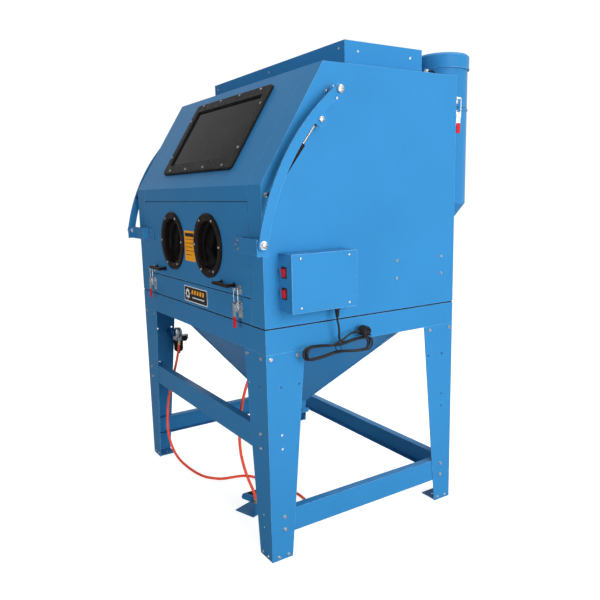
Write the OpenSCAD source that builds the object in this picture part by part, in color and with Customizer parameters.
// Free-standing suction sandblast cabinet with a lift-up glove door, a bolted stand and a dust collector.
// Millimetres, +Z up. The origin is on the floor, in the middle of the stand. The front faces -Y.

/* [Cabinet] */
// Width over the side walls
cab_w = 1220; // [1000:10:1400]
// Depth over the front and back walls
cab_d = 890; // [700:10:1000]
// Height of the seam between skirt and cabinet
seam_z = 860; // [800:5:900]
// Height at which the front leans back
bend_z = 1345; // [1330:5:1380]
// Height of the roof
roof_z = 1750; // [1700:10:1800]
// How far back the roof starts
lean_y = 254; // [200:2:300]
// Thickness of the folded sheet
sheet = 2.5; // [1.5:0.5:3]

/* [Door] */
// Half the width of the door
door_x = 512; // [480:1:512]
// Height of the door's bottom edge
door_z0 = 957; // [950:1:965]
// Height of the door's top edge
door_z1 = 1287; // [1270:1:1287]
// Distance of each glove port from the middle
port_x = 181; // [160:1:200]
// Height of the glove ports
port_z = 1121; // [1110:1:1130]
// Outer diameter of a glove ring
ring_d = 250; // [230:2:260]
// Inner radius of a glove ring's collar
ring_bore = 95; // [85:1:97]

/* [Window] */
// Width of the bezel
bezel_w = 672; // [600:2:700]
// Length of the bezel up the slope
bezel_l = 361; // [340:1:380]
// Width of the bezel's rim
bezel_rim = 40; // [30:1:50]
// Distance from the bend to the bezel, up the slope
bezel_s = 70; // [50:1:90]

/* [Lift arms] */
// Height of the arms' upper pivots
pivot_z = 1652; // [1640:1:1660]
// Distance of the arms' upper pivots behind the front
pivot_back = 282; // [270:1:300]
// Radius of an arm's middle line
arm_r = 796; // [780:1:820]
// Width of an arm
arm_w = 34; // [30:1:50]
// Side offset of an arm's inner face from the wall
arm_off = 50; // [45:1:60]

/* [Stand] */
// Width of a leg flange under the skirt
leg_w1 = 157; // [120:1:180]
// Width of a leg flange at the floor
leg_w0 = 87; // [80:1:120]
// Thickness of the stand's steel
steel = 3; // [2:0.5:4]
// Height of the skirt's lower edge
skirt_z = 770; // [740:5:790]

/* [Dust collector] */
// Position of the collector's axis from the middle
coll_x = 405; // [380:5:430]
// Radius of the collector's body
coll_r = 107; // [95:1:110]
// Radius of the motor head
head_r = 113; // [111:1:120]

/* [Hoses and cord] */
// Diameter of the air hoses
hose_d = 12; // [8:1:14]
// Diameter of the power cord
cord_d = 7; // [6:0.5:9]

/* [Hidden] */
$fn = 64;

blue = "#2f86cf";
zinc = "#c8ccd0";
black = "#1c1c1e";
red = "#d8252c";
orange = "#f0462a";

// main planes
wx = cab_w / 2;
fy = -cab_d / 2;
by = cab_d / 2;
lean = atan(lean_y / (roof_z - bend_z));
gap = 3;
wall_z = seam_z + 2;
skirt_top = seam_z - 3;
seam = 0.2;

// door opening
strip_x = door_x + gap;
lip_z = door_z1 + 5;
sill_z = door_z0 - 4;
seat_y = fy + 16;
seat_w = 28;

// lift arm geometry, in the YZ plane
pivot_y = fy + pivot_back;
arm_a1 = 126.7;
arm_a0 = 170.05;
arm_cy = pivot_y - arm_r * cos(arm_a1);
arm_cz = pivot_z - arm_r * sin(arm_a1);
arm_end_y = arm_cy + arm_r * cos(arm_a0);
arm_end_z = arm_cz + arm_r * sin(arm_a0);
arm_x = wx + arm_off;
arm_t = 6;
ear_y = pivot_y - 78;
ear_z = pivot_z - 101;

// gas springs
strut_off = 36;
strut_x = wx + strut_off;
strut_y = fy + 15;
strut_z = 1310;
strut_l = norm([ear_y - strut_y, ear_z - strut_z]);
strut_tilt = atan((ear_y - strut_y) / (ear_z - strut_z));
strut_tube_l = 205;
strut_rod_r = 5;
run = 0.05;

// toggle latches: pivot over the plate, bail pivot on the lever
latch_x = 436;
latch_z = 926;
latch_out = 20;
bail_drop = 15;
bail_out = 18;
bail_l = 73.5;
wire = 2;

// collector
coll_y = by + 18 + coll_r;
coll_top = 1867;
head_z = 1806;
band_z = 1649;
cone_z = 1256;
duct_z = 1697;
duct_r = 45;
lead_y = by + 7;
lead_z = 1794;
coll_latch_x = coll_x + (coll_r + 1) * cos(-14);
coll_latch_y = coll_y + (coll_r + 1) * sin(-14);

// pedal: its own frame, front left corner of the base plate
pedal_at = [190, fy + 64, 0];
pedal_turn = 18.8;
pedal_w = 102;
pedal_l = 210;
tread_hinge = [0, 185, 24];
tread_nose = [0, 38, 54];
nose_r = 12;

// regulator
reg_x = -540;
reg_y = fy + 137;

// rows of points along hoses and cord, round numbers
supply_route = [
    [-508, -317, 592], [-508, -320, 560], [-510, -332, 500], [-510, -352, 430], [-509, -373, 360],
    [-503, -393, 290], [-493, -405, 219], [-480, -412, 150], [-460, -409, 90], [-425, -401, 42],
    [-380, -392, 17], [-325, -385, 8], [-272, -381, 7], [-220, -374, 7], [-168, -360, 7],
    [-128, -334, 7], [-99, -303, 7], [-85, -258, 7], [-72, -215, 7], [-50, -186, 7], [-15, -168, 7],
    [40, -153, 7], [95, -132, 7], [150, -111, 7], [200, -99, 7], [248, -94, 7], [292, -97, 7],
    [321, -105, 7], [342, -126, 7], [350, -155, 8], [342, -184, 10], [321, -203, 14], [297, -213, 18],
    [279, -218, 21], [262, -225, 22]
];
gun_route = [
    [240, -283, 684], [236, -288, 650], [226, -300, 600], [212, -316, 545], [204, -330, 490],
    [200, -341, 430], [199, -349, 370], [200, -353, 310], [204, -351, 250], [213, -345, 200],
    [228, -339, 158], [246, -333, 125], [260, -328, 100], [268, -325, 75], [270, -324, 52]
];
cord_route = [
    [655, -177, 878], [655, -176, 866], [655, -172, 850], [654, -169, 834], [652, -167, 818],
    [649, -168, 804], [648, -169, 796], [648, -169, 790]
];
cable_route = [
    [445, 452, 1794], [456, 452, 1794], [467, 452, 1792], [477, 453, 1786], [484, 453, 1777],
    [488, 453, 1765], [489, 453, 1750], [489, 453, 1732], [489, 453, 1712]
];

// ---- shared shapes ----

// a plate whose outline is given in Y and Z, extruded along +X
module yz_plate(points, x0, t)
    translate([x0, 0, 0]) rotate([90, 0, 90]) linear_extrude(t) polygon(points);

// a plate whose outline is given in X and Z, extruded along +Y
module xz_plate(points, y0, t)
    translate([0, y0 + t, 0]) rotate([90, 0, 0]) linear_extrude(t) polygon(points);

module rod_x(p, r, l) translate(p) rotate([0, 90, 0]) cylinder(h = l, r = r);
module rod_y(p, r, l) translate(p) rotate([-90, 0, 0]) cylinder(h = l, r = r);
module rod_z(p, r, l) translate(p) cylinder(h = l, r = r);

module box(lo, hi) translate(lo) cube(hi - lo);

module both_sides() {
    children();
    mirror([1, 0, 0]) children();
}

// x across, y up the slope from the bend, z outward
module on_slope() translate([0, fy, bend_z]) rotate([90 - lean, 0, 0]) children();

module round_rect(w, h, r) {
    square([w - 2 * r, h], center = true);
    square([w, h - 2 * r], center = true);
    for (sx = [-1, 1], sy = [-1, 1])
        translate([sx * (w / 2 - r), sy * (h / 2 - r)]) circle(r);
}

// hexagon bolt head with a washer, facing +Z
module bolt_head(r = 8) {
    cylinder(h = 1.6, r = r * 1.15);
    translate([0, 0, 1.6]) cylinder(h = r * 0.62, r = r * 0.95, $fn = 6);
}

// low domed screw head facing +Z
module pan_head(r = 4.5)
    rotate_extrude($fn = 24) polygon([[0, 0], [r, 0], [r, r * 0.35], [r * 0.6, r * 0.62], [0, r * 0.7]]);

module face_front(p) translate(p) rotate([90, 0, 0]) children();
module face_back(p) translate(p) rotate([-90, 0, 0]) children();
module face_right(p) translate(p) rotate([0, 90, 0]) children();

// direction of a route at point i
function heading(p, i) =
    let (a = p[max(i - 1, 0)], b = p[min(i + 1, len(p) - 1)]) (b - a) / norm(b - a);
function side_of(d) = let (s = cross(d, [0.31, 0.93, 0.2])) s / norm(s);
function ring_at(p, i, r, n) =
    let (d = heading(p, i), u = side_of(d), v = cross(d, u))
    [for (k = [0 : n - 1]) p[i] + r * (cos(360 * k / n) * u + sin(360 * k / n) * v)];

// a tube swept along a route as one closed polyhedron
module sweep(p, d, n = 8) {
    rings = len(p);
    points = [for (i = [0 : rings - 1]) each ring_at(p, i, d / 2, n)];
    sides = [for (i = [0 : rings - 2], k = [0 : n - 1])
        let (a = i * n + k, b = i * n + (k + 1) % n) [a, b, b + n, a + n]];
    low = [for (k = [n - 1 : -1 : 0]) k];
    high = [for (k = [0 : n - 1]) (rings - 1) * n + k];
    polyhedron(points = points, faces = concat([low], [high], sides), convexity = 6);
}

// ---- stand ----

leg_hole_r = 4.5;
leg_hole_in = 56;
leg_hole_out = 131;
rail_h = 88;
front_rail_z = 403;
side_rail_z = 96;

// both flanges of the leg at +X, front
module leg() {
    difference() {
        xz_plate([[wx - leg_w0, 0], [wx, 0], [wx, skirt_z], [wx - leg_w1, skirt_z]], fy, steel);
        for (z = [side_rail_z + 19, side_rail_z + 68, 648])
            rod_y([wx - leg_hole_in, fy - 1, z], leg_hole_r, 9);
        rod_y([wx - leg_hole_out, fy - 1, 648], leg_hole_r, 9);
    }
    difference() {
        yz_plate([[fy, 0], [fy + leg_w0, 0], [fy + leg_w1, skirt_z], [fy, skirt_z]], wx - steel, steel);
        for (z = [front_rail_z + 18, front_rail_z + 70, 648])
            rod_x([wx - 6, fy + leg_hole_in, z], leg_hole_r, 9);
        rod_x([wx - 6, fy + leg_hole_out, 648], leg_hole_r, 9);
    }
}

module front_legs() color(blue) both_sides() leg();
module rear_legs() color(blue) mirror([0, 1, 0]) both_sides() leg();

// a channel along +X, its web on the -Y side
module channel(l, h, w, t) {
    box([0, 0, 0], [l, t, h]);
    box([0, 0, 0], [l, w, t]);
    box([0, 0, h - t], [l, w, h]);
}

rail_in = 32;
module stand_rails() color(blue) {
    translate([-wx + 2 * steel, fy + steel, front_rail_z]) channel(cab_w - 4 * steel, rail_h, rail_in, sheet);
    both_sides() translate([wx - steel, fy + 2 * steel, side_rail_z]) rotate([0, 0, 90])
        channel(cab_d - 4 * steel, rail_h, rail_in, sheet);
    mirror([0, 1, 0]) translate([-wx + 44, fy + steel, side_rail_z])
        channel(cab_w - 88, rail_h, rail_in, sheet);
}

anchor_in = 50;
foot_l = 78;
module foot_plate() {
    difference() {
        box([wx - steel - foot_l, fy + steel, 0], [wx - steel, fy + steel + foot_l, 4]);
        rod_z([wx - anchor_in, fy + anchor_in, -1], 6, 6);
    }
    box([wx - steel - foot_l, fy + steel, 4], [wx - steel, fy + 2 * steel, 26]);
    box([wx - 2 * steel, fy + 2 * steel, 4], [wx - steel, fy + steel + foot_l, 26]);
}
module foot_plates() color(blue) both_sides() {
    foot_plate();
    mirror([0, 1, 0]) foot_plate();
}

module corner_bolts() {
    for (x = [28, 68]) face_front([wx - x, fy, 14]) bolt_head(5);
    for (y = [28, 68]) face_right([wx, fy + y, 14]) bolt_head(5);
    for (x = [33, 135]) face_front([wx - x, fy, skirt_z - 16]) bolt_head(6);
    for (y = [18, 127]) face_right([wx, fy + y, skirt_z - 16]) bolt_head(6);
    for (z = [side_rail_z + 19, side_rail_z + 68]) face_right([wx, fy + leg_hole_in, z]) bolt_head(6);
}
module stand_bolts() color(zinc) both_sides() {
    corner_bolts();
    mirror([0, 1, 0]) corner_bolts();
    for (z = [front_rail_z + 18, front_rail_z + 70]) face_front([wx - leg_hole_in, fy, z]) bolt_head(6);
    for (z = [side_rail_z + 19, side_rail_z + 68]) face_back([wx - leg_hole_in, by, z]) bolt_head(6);
}

skirt_inset = 4;
skirt_flange = 40;
tab_h = 36;
// four bars round the cabinet's outline, from inset a to inset b
module four_bars(a, b, z0, z1) {
    for (my = [0, 1]) mirror([0, my, 0]) box([-wx + a, fy + a, z0], [wx - a, fy + b, z1]);
    both_sides() box([wx - b, fy + b + seam, z0], [wx - a, by - b - seam, z1]);
}
module skirt_frame() color(blue) {
    four_bars(0, sheet, skirt_z, skirt_top);
    four_bars(sheet + seam, skirt_flange, skirt_top - steel - seam, skirt_top - seam);
    four_bars(skirt_inset, skirt_flange, skirt_top, seam_z);
    for (my = [0, 1]) mirror([0, my, 0]) both_sides() {
        box([wx - 150, fy + steel, skirt_z - tab_h], [wx - steel, fy + 2 * steel, skirt_z + 20]);
        box([wx - 2 * steel, fy + 2 * steel + seam, skirt_z - tab_h], [wx - steel, fy + 150, skirt_z + 20]);
    }
}

// ---- hopper ----

hop_rim = skirt_top - 2 * steel - seam;
hop_top = hop_rim - seam;
hop_z = 360;
hop_out = 65;
hop_x = wx - 46;
hop_y = by - 46;
hop_t = 4;
throat_z = 318;
// one sloping side of the hopper, out along +X; far and wide are its reach and half width at the top
module hopper_side(far, wide) {
    points = [for (level = [[hop_out, hop_out, hop_z], [far, wide, hop_top]])
        for (c = [[-hop_t, -1], [0, -1], [0, 1], [-hop_t, 1]])
            [level[0] + c[0], c[1] * (level[1] + c[0] - seam), level[2]]];
    polyhedron(points = points, faces = [
        [0, 1, 2, 3], [7, 6, 5, 4], [4, 5, 1, 0], [5, 6, 2, 1], [6, 7, 3, 2], [7, 4, 0, 3]
    ]);
}
port_at = [240, fy + 156, 684];
module hopper() color(blue) {
    for (turn = [0, 180]) rotate([0, 0, turn]) {
        hopper_side(hop_x, hop_y);
        rotate([0, 0, 90]) hopper_side(hop_y, hop_x);
        box([hop_out - 3, -hop_out, throat_z], [hop_out, hop_out, hop_z - seam]);
        box([-hop_out + 3 + seam, hop_out - 3, throat_z], [hop_out - 3 - seam, hop_out, hop_z - seam]);
    }
    // rim bolted up under the skirt flange
    four_bars(20, 50, hop_rim, hop_rim + steel);
    // runners of the clean-out slide
    both_sides() {
        box([hop_out, -hop_out - 10, throat_z - 8], [hop_out + 10, hop_out + 10, throat_z + 6]);
        box([hop_out - 6, -hop_out - 10, throat_z - 12], [hop_out + 10, hop_out + 10, throat_z - 8]);
    }
    // media pick-up tube on the throat wall
    difference() {
        rod_x([hop_out, 0, 342], 11, 60);
        rod_x([hop_out - 1, 0, 342], 8, 62);
    }
    // socket of the gun hose on the front slope
    rod_z(port_at, 9, 22);
    translate(port_at) box([-16, -9, 12], [16, 30, 20]);
}

module gate_slide() color(zinc) {
    box([-hop_out - 2 + 3, -hop_out - 8, throat_z - 5], [hop_out + 2 - 3, hop_out + 6, throat_z - 2]);
    box([-22, -hop_out - 11, throat_z - 16], [22, -hop_out - 8, throat_z - 2]);
    rod_y([0, -hop_out - 31, throat_z - 9], 4, 20);
    rod_y([0, -hop_out - 45, throat_z - 9], 11, 14);
}

// ---- cabinet shell ----

profile = [[fy, wall_z], [by, wall_z], [by, roof_z], [fy + lean_y, roof_z], [fy, bend_z]];
foot_in = 4;
foot_w = 36;

// the front and the slope as one bent sheet, from x0 on, down to z_low
module bent_front(x0, w, z_low) yz_plate([
    [fy, z_low], [fy + sheet, z_low], [fy + sheet, bend_z - sheet * tan(lean / 2)],
    [fy + lean_y + sheet / cos(lean), roof_z], [fy + lean_y, roof_z], [fy, bend_z]
], x0, w);

// the wall at +X: flat side, folded front return, seat for the door seal, foot flange
module side_wall() {
    yz_plate(profile, wx - sheet, sheet);
    bent_front(strip_x, wx - sheet - strip_x, wall_z);
    box([strip_x, fy + sheet, sill_z], [strip_x + sheet, seat_y, lip_z]);
    box([strip_x - seat_w, seat_y - sheet, sill_z], [strip_x, seat_y, lip_z]);
    box([wx - foot_w, fy + foot_in, wall_z], [wx - sheet, by - foot_in, wall_z + sheet]);
    box([wx - foot_w, fy + foot_in, seam_z], [wx - foot_in, by - foot_in, wall_z]);
    // boss round the lift arm's pivot
    rod_x([wx, pivot_y, pivot_z], 28, 4);
}
module side_wall_right() color(blue) side_wall();
module side_wall_left() color(blue) mirror([1, 0, 0]) side_wall();

module back_wall() color(blue) {
    lead_box();
    difference() {
        box([-wx + sheet, by - sheet, wall_z + 6], [wx - sheet, by, roof_z - sheet]);
        rod_y([coll_x, by - 9, duct_z], duct_r + 1, 20);
    }
}

hood_x = 535;
hood_y0 = fy + 402;
hood_y1 = fy + 775;
hood_z = 1848;
module roof_panel() color(blue) difference() {
    box([-wx + sheet, fy + lean_y + 3.2, roof_z - sheet], [wx - sheet, by - 0.02, roof_z]);
    box([-hood_x + 40, hood_y0 + 30, roof_z - 9], [hood_x - 40, hood_y1 - 30, roof_z + 1]);
}

bezel_mid = bezel_s + bezel_l / 2;
module window_panel() color(blue) {
    x = strip_x - 1;
    difference() {
        bent_front(-x, 2 * x, lip_z);
        on_slope() translate([0, bezel_mid, -9]) linear_extrude(20)
            round_rect(bezel_w - 2 * bezel_rim + 10, bezel_l - 2 * bezel_rim + 10, 10);
    }
    box([-x, fy + sheet, lip_z], [x, seat_y, lip_z + sheet]);
    box([-x + seat_w, seat_y - sheet, lip_z - 30], [x - seat_w, seat_y, lip_z]);
}

module sill_panel() color(blue) {
    x = strip_x - 0.4;
    box([-x, fy, wall_z], [x, fy + sheet, sill_z]);
    box([-x, fy + sheet, sill_z - sheet], [x, seat_y, sill_z]);
    box([-x + seat_w, seat_y - sheet, sill_z], [x - seat_w, seat_y, sill_z + 28]);
    box([-x, fy + sheet, wall_z], [x, fy + foot_w, wall_z + sheet]);
    box([-x, fy + foot_in, seam_z], [x, fy + foot_w, wall_z]);
}

// ---- window ----

bezel_h = 12;
glass_t = 4;
module window_bezel() color(black) on_slope() translate([0, bezel_mid, 0]) difference() {
    union() {
        linear_extrude(bezel_h - 3) round_rect(bezel_w, bezel_l, 18);
        linear_extrude(bezel_h) round_rect(bezel_w - 6, bezel_l - 6, 15);
    }
    translate([0, 0, -1]) linear_extrude(bezel_h + 2)
        round_rect(bezel_w - 2 * bezel_rim, bezel_l - 2 * bezel_rim, 6);
    translate([0, 0, -1]) linear_extrude(1 + glass_t + 0.3)
        round_rect(bezel_w - bezel_rim + 4, bezel_l - bezel_rim + 4, 8);
}
module window_glass() color("#2a2d30") on_slope() translate([0, bezel_mid, 0.1])
    linear_extrude(glass_t) round_rect(bezel_w - bezel_rim, bezel_l - bezel_rim, 6);

bezel_screws = concat(
    [for (x = [-260, -87, 87, 260], s = [-1, 1]) [x, s * (bezel_l / 2 - 14)]],
    [for (x = [-1, 1], s = [-95, 95]) [x * (bezel_w / 2 - 15), s]]
);

box_y0 = fy + 60;
box_y1 = fy + 331;
box_z0 = 918;
box_z1 = 1117;
box_x = wx + 81;
module cabinet_screws() color(zinc) {
    on_slope() for (p = bezel_screws) translate([p[0], bezel_mid + p[1], bezel_h]) pan_head(5);
    for (y = [box_y0 + 36, box_y1 - 35], z = [box_z0 + 17, box_z1 - 16]) face_right([box_x, y, z]) pan_head();
    for (y = [fy + 585, fy + 820], z = [984, 1052]) both_sides() face_right([wx, y, z]) bolt_head(5);
    for (x = [-500, 0, 500]) face_front([x, hood_y0, hood_z - 24]) pan_head();
    for (y = [hood_y0 + 60, hood_y1 - 60]) both_sides() face_right([hood_x, y, hood_z - 36]) pan_head();
}

// ---- light ----

module lamp_hood() color(blue) {
    difference() {
        box([-hood_x, hood_y0, roof_z], [hood_x, hood_y1, hood_z]);
        box([-hood_x + sheet, hood_y0 + sheet, roof_z - 1],
            [hood_x - sheet, hood_y1 - sheet, hood_z - sheet]);
    }
}
lamp_y = (hood_y0 + hood_y1) / 2;
module lamp_tube() color("white") {
    rod_x([-450, lamp_y, hood_z - 40], 13, 900);
    both_sides() box([450, lamp_y - 18, hood_z - 60], [462, lamp_y + 18, hood_z - sheet]);
}

// ---- inside ----

grate_z = 868;
module work_grate() color("#50565c") {
    for (i = [-13 : 13]) box([i * 42 - 3, fy + 50, grate_z - 6], [i * 42 + 3, by - 50, grate_z]);
    for (y = [fy + 50, -130, 130, by - 56]) box([-556, y, grate_z - 8], [556, y + 6, grate_z - 2]);
}

gun_y = fy + 95;
module blast_gun() color("#8d9196") {
    rod_x([-74, gun_y, grate_z + 22], 9, 40);
    rod_x([-36, gun_y, grate_z + 22], 18, 70);
    rod_x([32, gun_y, grate_z + 22], 14, 34);
    rod_z([8, gun_y, grate_z], 15, 10);
    rod_z([8, gun_y, grate_z + 34], 13, 34);
    rod_z([8, gun_y, grate_z + 66], 9, 20);
    box([-20, gun_y - 10, grate_z], [50, gun_y + 10, grate_z + 12]);
}

// ---- door ----

sheet_in = fy + sheet;
port_hole_r = 100;
module door_panel() color(blue) {
    difference() {
        box([-door_x, fy, door_z0], [door_x, sheet_in, door_z1]);
        both_sides() rod_y([port_x, fy - 5, port_z], port_hole_r, 20);
    }
    for (z = [1000, 1240]) box([-440, sheet_in, z - 7], [440, sheet_in + 10, z + 7]);
}

seal_t = seat_y - sheet - sheet_in - 0.3;
module door_seal() color("#2b2b2d") difference() {
    box([-door_x + 4, sheet_in, door_z0 + 4], [door_x - 4, sheet_in + seal_t, door_z1 - 9]);
    box([-door_x + 18, sheet_in - 1, door_z0 + 18], [door_x - 18, sheet_in + 20, door_z1 - 23]);
}

ring_t = 9;
ring_screw_r = 111;
module glove_rings() color(black) both_sides() translate([port_x, fy, port_z]) rotate([90, 0, 0])
    rotate_extrude($fn = 96) polygon([
        [ring_bore, -22], [99.5, -22], [99.5, 0], [ring_d / 2, 0], [ring_d / 2, ring_t - 4],
        [ring_d / 2 - 4, ring_t], [ring_bore + 8, ring_t], [ring_bore, ring_t - 6]
    ]);

// sleeve on the collar, ending in a hanging forearm
sleeve_l = 150;
sleeve_r = 66;
module gloves() color("#3a3c3f") both_sides() {
    translate([port_x, sheet_in + 0.3, port_z]) rotate([-90, 0, 0]) rotate_extrude() polygon([
        [100, 0], [103, 0], [103, 30], [sleeve_r, sleeve_l], [sleeve_r - 20, sleeve_l + 22],
        [0, sleeve_l + 28],
        [0, sleeve_l + 25], [sleeve_r - 22, sleeve_l + 19], [sleeve_r - 3, sleeve_l - 1], [100, 29]
    ]);
    translate([port_x, fy + 190, port_z - 8]) rotate([-152, 0, 0]) rotate_extrude() polygon([
        [0, 44], [28, 47], [40, 56], [40, 112], [36, 142], [22, 156], [0, 160]
    ]);
}

handle_x = 342;
handle_z = 990;
handle_l = 136;
handle_out = 32;
handle_post = 52;
module door_handles() color("#33302e") both_sides() {
    for (s = [-1, 1]) rod_y([handle_x + s * handle_post, fy - handle_out, handle_z], 6, handle_out);
    for (s = [-1, 1]) rod_y([handle_x + s * handle_post, fy - 4, handle_z], 10, 4);
    rod_x([handle_x - handle_l / 2 + 7, fy - handle_out, handle_z], 7, handle_l - 14);
    for (s = [-1, 1]) translate([handle_x + s * (handle_l / 2 - 7), fy - handle_out, handle_z]) sphere(7);
}

strap_h = 55;
strap_z = arm_end_z - 38;
strap_out = 26;
strap_t = 4;
strap_x = arm_x - strap_t;
module door_brackets() color(blue) both_sides() {
    translate([0, 0, strap_z]) linear_extrude(strap_h) polygon([
        [414, fy], [414, fy - strap_t], [486, fy - strap_t], [496, fy - strap_out],
        [strap_x - strap_t, fy - strap_out], [strap_x - strap_t, fy - strap_out + strap_t],
        [499, fy - strap_out + strap_t], [489, fy]
    ]);
    difference() {
        box([strap_x - strap_t, arm_end_y - 20, strap_z], [strap_x, arm_end_y + 20, strap_z + strap_h]);
        rod_x([strap_x - 9, arm_end_y, arm_end_z], 6.5, 20);
    }
}

module lift_arm() {
    difference() {
        union() {
            intersection() {
                difference() {
                    rod_x([arm_x, arm_cy, arm_cz], arm_r + arm_w / 2, arm_t, $fn = 256);
                    rod_x([arm_x - 1, arm_cy, arm_cz], arm_r - arm_w / 2, arm_t + 2, $fn = 256);
                }
                yz_plate([[arm_cy, arm_cz],
                    [arm_end_y, arm_end_z] + 0.2 * [arm_end_y - arm_cy, arm_end_z - arm_cz],
                    [arm_cy, arm_cz] + 1.5 * arm_r * [cos(150), sin(150)],
                    [pivot_y, pivot_z] + 0.2 * [pivot_y - arm_cy, pivot_z - arm_cz]], arm_x - 1, arm_t + 2);
            }
            rod_x([arm_x, pivot_y, pivot_z], arm_w / 2 + 2, arm_t);
            rod_x([arm_x, arm_end_y, arm_end_z], arm_w / 2 + 2, arm_t);
            rod_x([arm_x, ear_y, ear_z], 24, arm_t);
        }
        rod_x([arm_x - 1, pivot_y, pivot_z], 8 + run, 9);
        rod_x([arm_x - 1, arm_end_y, arm_end_z], 6.5, 9);
    }
}
module lift_arms() color(blue) both_sides() lift_arm();

module door_hardware() color(zinc) both_sides() {
    for (a = [0 : 60 : 300])
        face_front([port_x + ring_screw_r * cos(a), fy - ring_t, port_z + ring_screw_r * sin(a)]) pan_head(5);
    for (p = [[428, 0], [444, 15], [444, -15]])
        face_front([p[0], fy - strap_t, strap_z + strap_h / 2 + p[1]]) bolt_head(4.5);
    // lower arm bolt through strap and arm
    rod_x([strap_x - strap_t - 8, arm_end_y, arm_end_z], 11, 8);
    rod_x([strap_x - strap_t, arm_end_y, arm_end_z], 6.4, strap_t * 2 + arm_t);
    rod_x([strap_x + 0.02, arm_end_y, arm_end_z], 12, arm_x - strap_x - 0.04);
    rod_x([arm_x + arm_t, arm_end_y, arm_end_z], 14, 2);
    rod_x([arm_x + arm_t + 2, arm_end_y, arm_end_z], 11, 6);
    // head of the spring stud and the stop screw on the arm
    rod_x([arm_x + arm_t, ear_y, ear_z], 10, 6);
    rod_x([arm_x + arm_t, pivot_y - 14, pivot_z - 30], 4, 3);
    // keeper of the toggle latch: plate, ledge and lip
    box([latch_x - 13, fy - 2, door_z0 + 6], [latch_x + 13, fy, door_z0 + 38]);
    box([latch_x - 9, fy - 26, door_z0 + 22], [latch_x + 9, fy - 2, door_z0 + 25]);
    box([latch_x - 9, fy - 26, door_z0 + 25], [latch_x + 9, fy - 23, door_z0 + 30]);
}

// ---- pivots and gas springs ----

module pivot_studs() color(zinc) both_sides() {
    rod_x([wx + 4, pivot_y, pivot_z], 13, arm_off - 4.5);
    rod_x([wx + 4, pivot_y, pivot_z], 8, arm_off + arm_t - 2);
    rod_x([arm_x + arm_t + 0.5, pivot_y, pivot_z], 13, 7);
    rod_x([arm_x + arm_t - 3, pivot_y, pivot_z], 8, 4);
    for (a = [60, 180, 300]) face_right([wx + 4, pivot_y + 20 * cos(a), pivot_z + 20 * sin(a)]) pan_head(3.5);
    rod_x([wx, strut_y, strut_z], 8, 6);
    rod_x([wx + 6, strut_y, strut_z], strut_rod_r, strut_off + 3);
    rod_x([strut_x + 9.5, strut_y, strut_z], 7, 3);
    rod_x([strut_x + 8, strut_y, strut_z], strut_rod_r, 2);
}

// z along the spring, from its lower eye
module on_strut() translate([strut_x, strut_y, strut_z]) rotate([-strut_tilt, 0, 0]) children();

module strut_tube() color(black) on_strut() difference() {
    union() {
        rod_x([-8, 0, 0], 9, 16);
        cylinder(h = 24, r = 6);
        translate([0, 0, 22]) cylinder(h = strut_tube_l - 22, r = 10);
    }
    rod_x([-9, 0, 0], strut_rod_r + run, 18);
    translate([0, 0, 34]) cylinder(h = strut_tube_l, r = strut_rod_r + run);
}
module strut_rod() color(zinc) on_strut() {
    translate([0, 0, 40]) cylinder(h = strut_l - 50, r = strut_rod_r);
    translate([0, 0, strut_l - 32]) cylinder(h = 26, r = 7.5);
    rod_x([-9, 0, strut_l], 9, 18);
    rod_x([9, 0, strut_l], 5, arm_off - strut_off - 10);
}
module strut_tube_right() strut_tube();
module strut_tube_left() mirror([1, 0, 0]) strut_tube();
module strut_rod_right() strut_rod();
module strut_rod_left() mirror([1, 0, 0]) strut_rod();

// ---- toggle latches, drawn at the origin of their lever pivot, pulling up, facing -Y ----

module latch_base() {
    difference() {
        union() {
            box([-15, latch_out - 2, -50], [15, latch_out, 12]);
            for (s = [-1, 1]) box([s * 12 - 1.2, -5, -9], [s * 12 + 1.2, latch_out - 2, 8]);
        }
        rod_x([-20, 0, 0], 3 + run, 40);
    }
    for (z = [-40, -20]) face_front([0, latch_out - 2, z]) pan_head(3.5);
}
module latch_lever() {
    difference() {
        union() {
            box([-10, -5, -24], [-7.6, 5, 5]);
            box([7.6, -5, -24], [10, 5, 5]);
            box([-10, -7, -42], [10, -5, 2]);
            rod_x([-13.6, 0, 0], 3, 27.2);
        }
        rod_x([-12, -bail_out + latch_out, -bail_drop], wire + run, 24);
    }
    translate([0, -6, -42]) rotate([180, 0, 0]) linear_extrude(40) round_rect(18, 6, 2.9);
}
bail_w = 16;
module latch_bail() translate([0, latch_out - bail_out, -bail_drop]) {
    for (s = [-1, 1]) rod_z([s * bail_w, 0, 0], wire, bail_l);
    rod_x([-bail_w, 0, 0], wire, bail_w - 6);
    rod_x([6, 0, 0], wire, bail_w - 6);
    rod_x([-bail_w, 0, bail_l], wire, 2 * bail_w);
    for (s = [-1, 1], z = [0, bail_l]) translate([s * bail_w, 0, z]) sphere(wire);
}

module front_latch(side) translate([side * latch_x, fy - latch_out, latch_z]) children();
module collector_latch() translate([coll_latch_x, coll_latch_y, band_z - 24]) rotate([0, 0, 76])
    translate([0, -latch_out, 0]) children();

module latch_bases() color(zinc) {
    for (s = [-1, 1]) front_latch(s) latch_base();
    collector_latch() {
        latch_base();
        box([-13, latch_out - 2, 38], [13, latch_out, 66]);
        box([-9, -6, 53], [9, latch_out - 2, 56]);
        box([-9, -6, 56], [9, -3, 61]);
    }
}
module latch_lever_left() color(zinc) front_latch(-1) latch_lever();
module latch_lever_right() color(zinc) front_latch(1) latch_lever();
module latch_bail_left() color(zinc) front_latch(-1) latch_bail();
module latch_bail_right() color(zinc) front_latch(1) latch_bail();
module collector_lever() color(zinc) collector_latch() latch_lever();
module collector_bail() color(zinc) collector_latch() latch_bail();

// ---- switch box and cord ----

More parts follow.
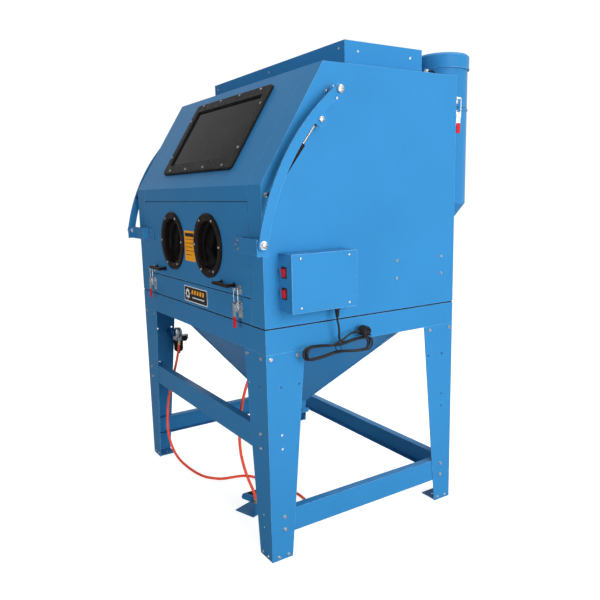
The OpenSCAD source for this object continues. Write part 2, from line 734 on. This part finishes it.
rocker_x = wx + 34;
rocker_zs = [983, 1054];
module switch_box() color(blue) difference() {
    box([wx, box_y0, box_z0], [box_x, box_y1, box_z1]);
    box([wx - 1, box_y0 + sheet, box_z0 + sheet], [box_x - sheet, box_y1 - sheet, box_z1 - sheet]);
    for (z = rocker_zs) box([rocker_x - 12, box_y0 - 1, z - 16], [rocker_x + 12, box_y0 + 9, z + 16]);
    rod_z([wx + 45, fy + 268, box_z0 - 1], 8, 9);
}
rocker_tilt = 8;
module rocker(z) color(red) translate([rocker_x, box_y0 - 1, z]) rotate([rocker_tilt, 0, 0]) {
    box([-10, -6, -14], [10, 6, 14]);
    rod_x([-10.5, 0, 0], 3, 21);
}
module rocker_lower() rocker(rocker_zs[0]);
module rocker_upper() rocker(rocker_zs[1]);

gland_at = [wx + 45, fy + 268, box_z0];
module cord_gland() color(black) translate(gland_at) difference() {
    union() {
        translate([0, 0, -10]) cylinder(h = 10, r = 12, $fn = 6);
        translate([0, 0, -0.5]) cylinder(h = 8, r = 7.5);
        translate([0, 0, -40]) cylinder(h = 31, r1 = 5.5, r2 = 9);
    }
    translate([0, 0, -39]) cylinder(h = 60, r = cord_d / 2);
}
module power_cord() color(black) sweep(cord_route, cord_d);

hank_l = 318;
hank_h = 54;
hank_t = 28;
hank_at = [648, fy + 276, 763];
module hank_outline() {
    square([hank_l - hank_h, hank_h], center = true);
    for (s = [-1, 1]) translate([s * (hank_l - hank_h) / 2, 0]) circle(hank_h / 2);
}
module cord_hank() color(black) translate(hank_at + [-hank_t / 2, 0, 0]) rotate([90, 0, 90])
    linear_extrude(hank_t) hank_outline();
plug_at = [648, fy + 396, hank_at[2] + hank_h / 2 + 20];
module power_plug() color(black) {
    rod_x(plug_at + [-14, 0, 0], 20, 26);
    rod_x(plug_at + [12, 0, 0], 17, 6);
    for (s = [-1, 1]) rod_x(plug_at + [18, 0, s * 9.5], 2.4, 19);
    rod_y(plug_at + [-4, -46, 0], 5, 30);
}

// ---- dust collector ----

wall_t = 2;
module turned(points) translate([coll_x, coll_y, 0]) rotate_extrude($fn = 128) polygon(points);
module collector_head() color(blue) {
    turned([[0, coll_top - wall_t], [head_r - 8, coll_top - wall_t], [head_r - wall_t, coll_top - 10],
        [head_r - wall_t, head_z], [head_r, head_z], [head_r, coll_top - 8], [head_r - 8, coll_top],
        [0, coll_top]]);
    // motor hung under the lid, with its fan wheel
    turned([[0, coll_top - 54], [70, coll_top - 54], [70, coll_top - wall_t], [0, coll_top - wall_t]]);
    // cable gland on a lug under the rim's front side
    box([coll_x + 7, by + 1, head_z - 18], [coll_x + 27, by + 17, head_z]);
    rod_x([coll_x - 10, lead_y, lead_z], 8, 50);
}
module collector_body() color(blue) difference() {
    union() {
        turned([[coll_r - wall_t, band_z], [coll_r, band_z], [coll_r, head_z + 20],
            [coll_r - wall_t, head_z + 20]]);
        difference() {
            rod_y([coll_x, by, duct_z], duct_r, coll_y - by - coll_r + 16);
            rod_y([coll_x, by - 1, duct_z], duct_r - wall_t, coll_y - by - coll_r + 30);
            turned([[0, band_z], [coll_r - wall_t, band_z], [coll_r - wall_t, head_z], [0, head_z]]);
        }
        difference() {
            for (x = [coll_x - 60, coll_x + 60])
                box([x - 4, by, band_z + 6], [x + 4, coll_y - 70, band_z + 30]);
            turned([[0, band_z], [coll_r - wall_t, band_z], [coll_r - wall_t, head_z], [0, head_z]]);
        }
    }
    rod_y([coll_x, by - 1, duct_z], duct_r - wall_t, coll_y - by - coll_r + 30);
}
module lead_box() box([473, by, 1680], [505, by + 16, 1712]);
cone_z1 = 1168;
cap_r = 38;
module collector_bin() color(blue) turned([
    [0, cone_z1 - 24], [cap_r + 4, cone_z1 - 24], [cap_r + 4, cone_z1], [coll_r, cone_z],
    [coll_r, band_z - 8], [coll_r + 3, band_z - 8], [coll_r + 3, band_z], [coll_r - wall_t, band_z],
    [coll_r - wall_t, cone_z + 1], [cap_r + 2, cone_z1 + 1], [cap_r + 2, cone_z1 - 21], [0, cone_z1 - 21]
]);
module motor_cable() color(black) sweep(cable_route, 7);

// ---- air supply ----

module regulator_bracket() color(blue) {
    box([-wx + steel, fy + 30, 616], [-wx + steel + 3, fy + 104, 644]);
    box([-wx + steel, fy + 104, 616], [reg_x + 16, fy + 107, 644]);
    face_front([reg_x - 30, fy + 104, 630]) bolt_head(5);
}
module regulator_body() color(zinc) {
    difference() {
        union() {
            translate([reg_x, reg_y, 0]) rotate_extrude() polygon([
                [0, 592], [27, 592], [29, 598], [27, 608], [24, 618], [22, 622], [0, 622]]);
            box([reg_x - 13, fy + 107, 594], [reg_x + 13, reg_y + 50, 615]);
        }
        rod_z([reg_x, reg_y + 38, 593], 6.5, 12);
    }
    // outlet socket towards the hose
    box([reg_x + 12, fy + 119, 594], [-500, fy + 137, 612]);
    rod_z([-508, fy + 128, 592], 7.5, 4);
    // pressure gauge
    rod_x([reg_x + 12, reg_y + 18, 604.5], 4, 24);
    rod_x([reg_x + 35, reg_y + 18, 604.5], 14, 9);
}
module filter_bowl() color(black) translate([reg_x, reg_y, 0]) rotate_extrude() polygon([
    [0, 522], [8, 522], [8, 530], [18, 534], [22, 542], [23, 580], [26, 584], [26, 591.7], [0, 591.7]]);
module regulator_knob() color(zinc) translate([reg_x, reg_y, 0]) rotate_extrude() polygon([
    [0, 622.3], [22, 622.3], [22, 634], [18, 648], [12, 655], [0, 657]]);
module supply_hose() color(orange) sweep(supply_route, hose_d);
module gun_hose() color(orange) sweep(gun_route, hose_d);

module at_pedal() translate(pedal_at) rotate([0, 0, pedal_turn]) children();
valve_lo = [72, 96, 3];
valve_hi = [100, 156, 34];
module pedal_base() color(blue) difference() {
    union() {
        at_pedal() {
            box([0, 0, 0], [pedal_w, pedal_l, 3]);
            for (x = [5, pedal_w - 8]) box([x, 168, 3], [x + 3, 202, 34]);
        }
        at_pedal() box(valve_lo, valve_hi);
        at_pedal() rod_y([86, 70, 14], 6, 30);
        at_pedal() rod_x([99, 126, 20], 8, 10);
        at_pedal() rod_z([86, 70, 3], 9, 20);
        rod_z([270, fy + 121, 3], 9, 49);
    }
    at_pedal() rod_x([0, tread_hinge[1], tread_hinge[2]], 4 + run, 120);
}
tread_x0 = 14;
tread_x1 = 68;
tread_dy = tread_hinge[1] - tread_nose[1];
tread_dz = tread_nose[2] - tread_hinge[2];
tread_a = atan(tread_dz / tread_dy);
tread_len = norm([tread_dy, tread_dz]);
module pedal_tread() color(blue) at_pedal() {
    translate([tread_x0, tread_nose[1], tread_nose[2]]) {
        rod_x([0, 0, 0], nose_r, tread_x1 - tread_x0);
        rotate([-tread_a, 0, 0]) box([0, 0, nose_r - 3], [tread_x1 - tread_x0, tread_len - 6, nose_r]);
    }
    rod_x([tread_x0, tread_hinge[1], tread_hinge[2]], 8, tread_x1 - tread_x0);
    rod_x([2, tread_hinge[1], tread_hinge[2]], 4, pedal_w - 4);
}

// ---- assembly ----

front_legs();
rear_legs();
stand_rails();
foot_plates();
stand_bolts();
skirt_frame();
hopper();
gate_slide();
side_wall_left();
side_wall_right();
back_wall();
roof_panel();
window_panel();
sill_panel();
window_bezel();
window_glass();
cabinet_screws();
lamp_hood();
lamp_tube();
work_grate();
blast_gun();
pivot_studs();
latch_bases();
door_panel();
door_seal();
glove_rings();
gloves();
door_handles();
door_brackets();
lift_arms();
door_hardware();
strut_tube_left();
strut_tube_right();
strut_rod_left();
strut_rod_right();
latch_lever_left();
latch_lever_right();
latch_bail_left();
latch_bail_right();
collector_lever();
collector_bail();
switch_box();
rocker_upper();
rocker_lower();
cord_gland();
power_cord();
cord_hank();
power_plug();
collector_head();
collector_body();
collector_bin();
motor_cable();
regulator_bracket();
regulator_body();
filter_bowl();
regulator_knob();
supply_hose();
gun_hose();
pedal_base();
pedal_tread();
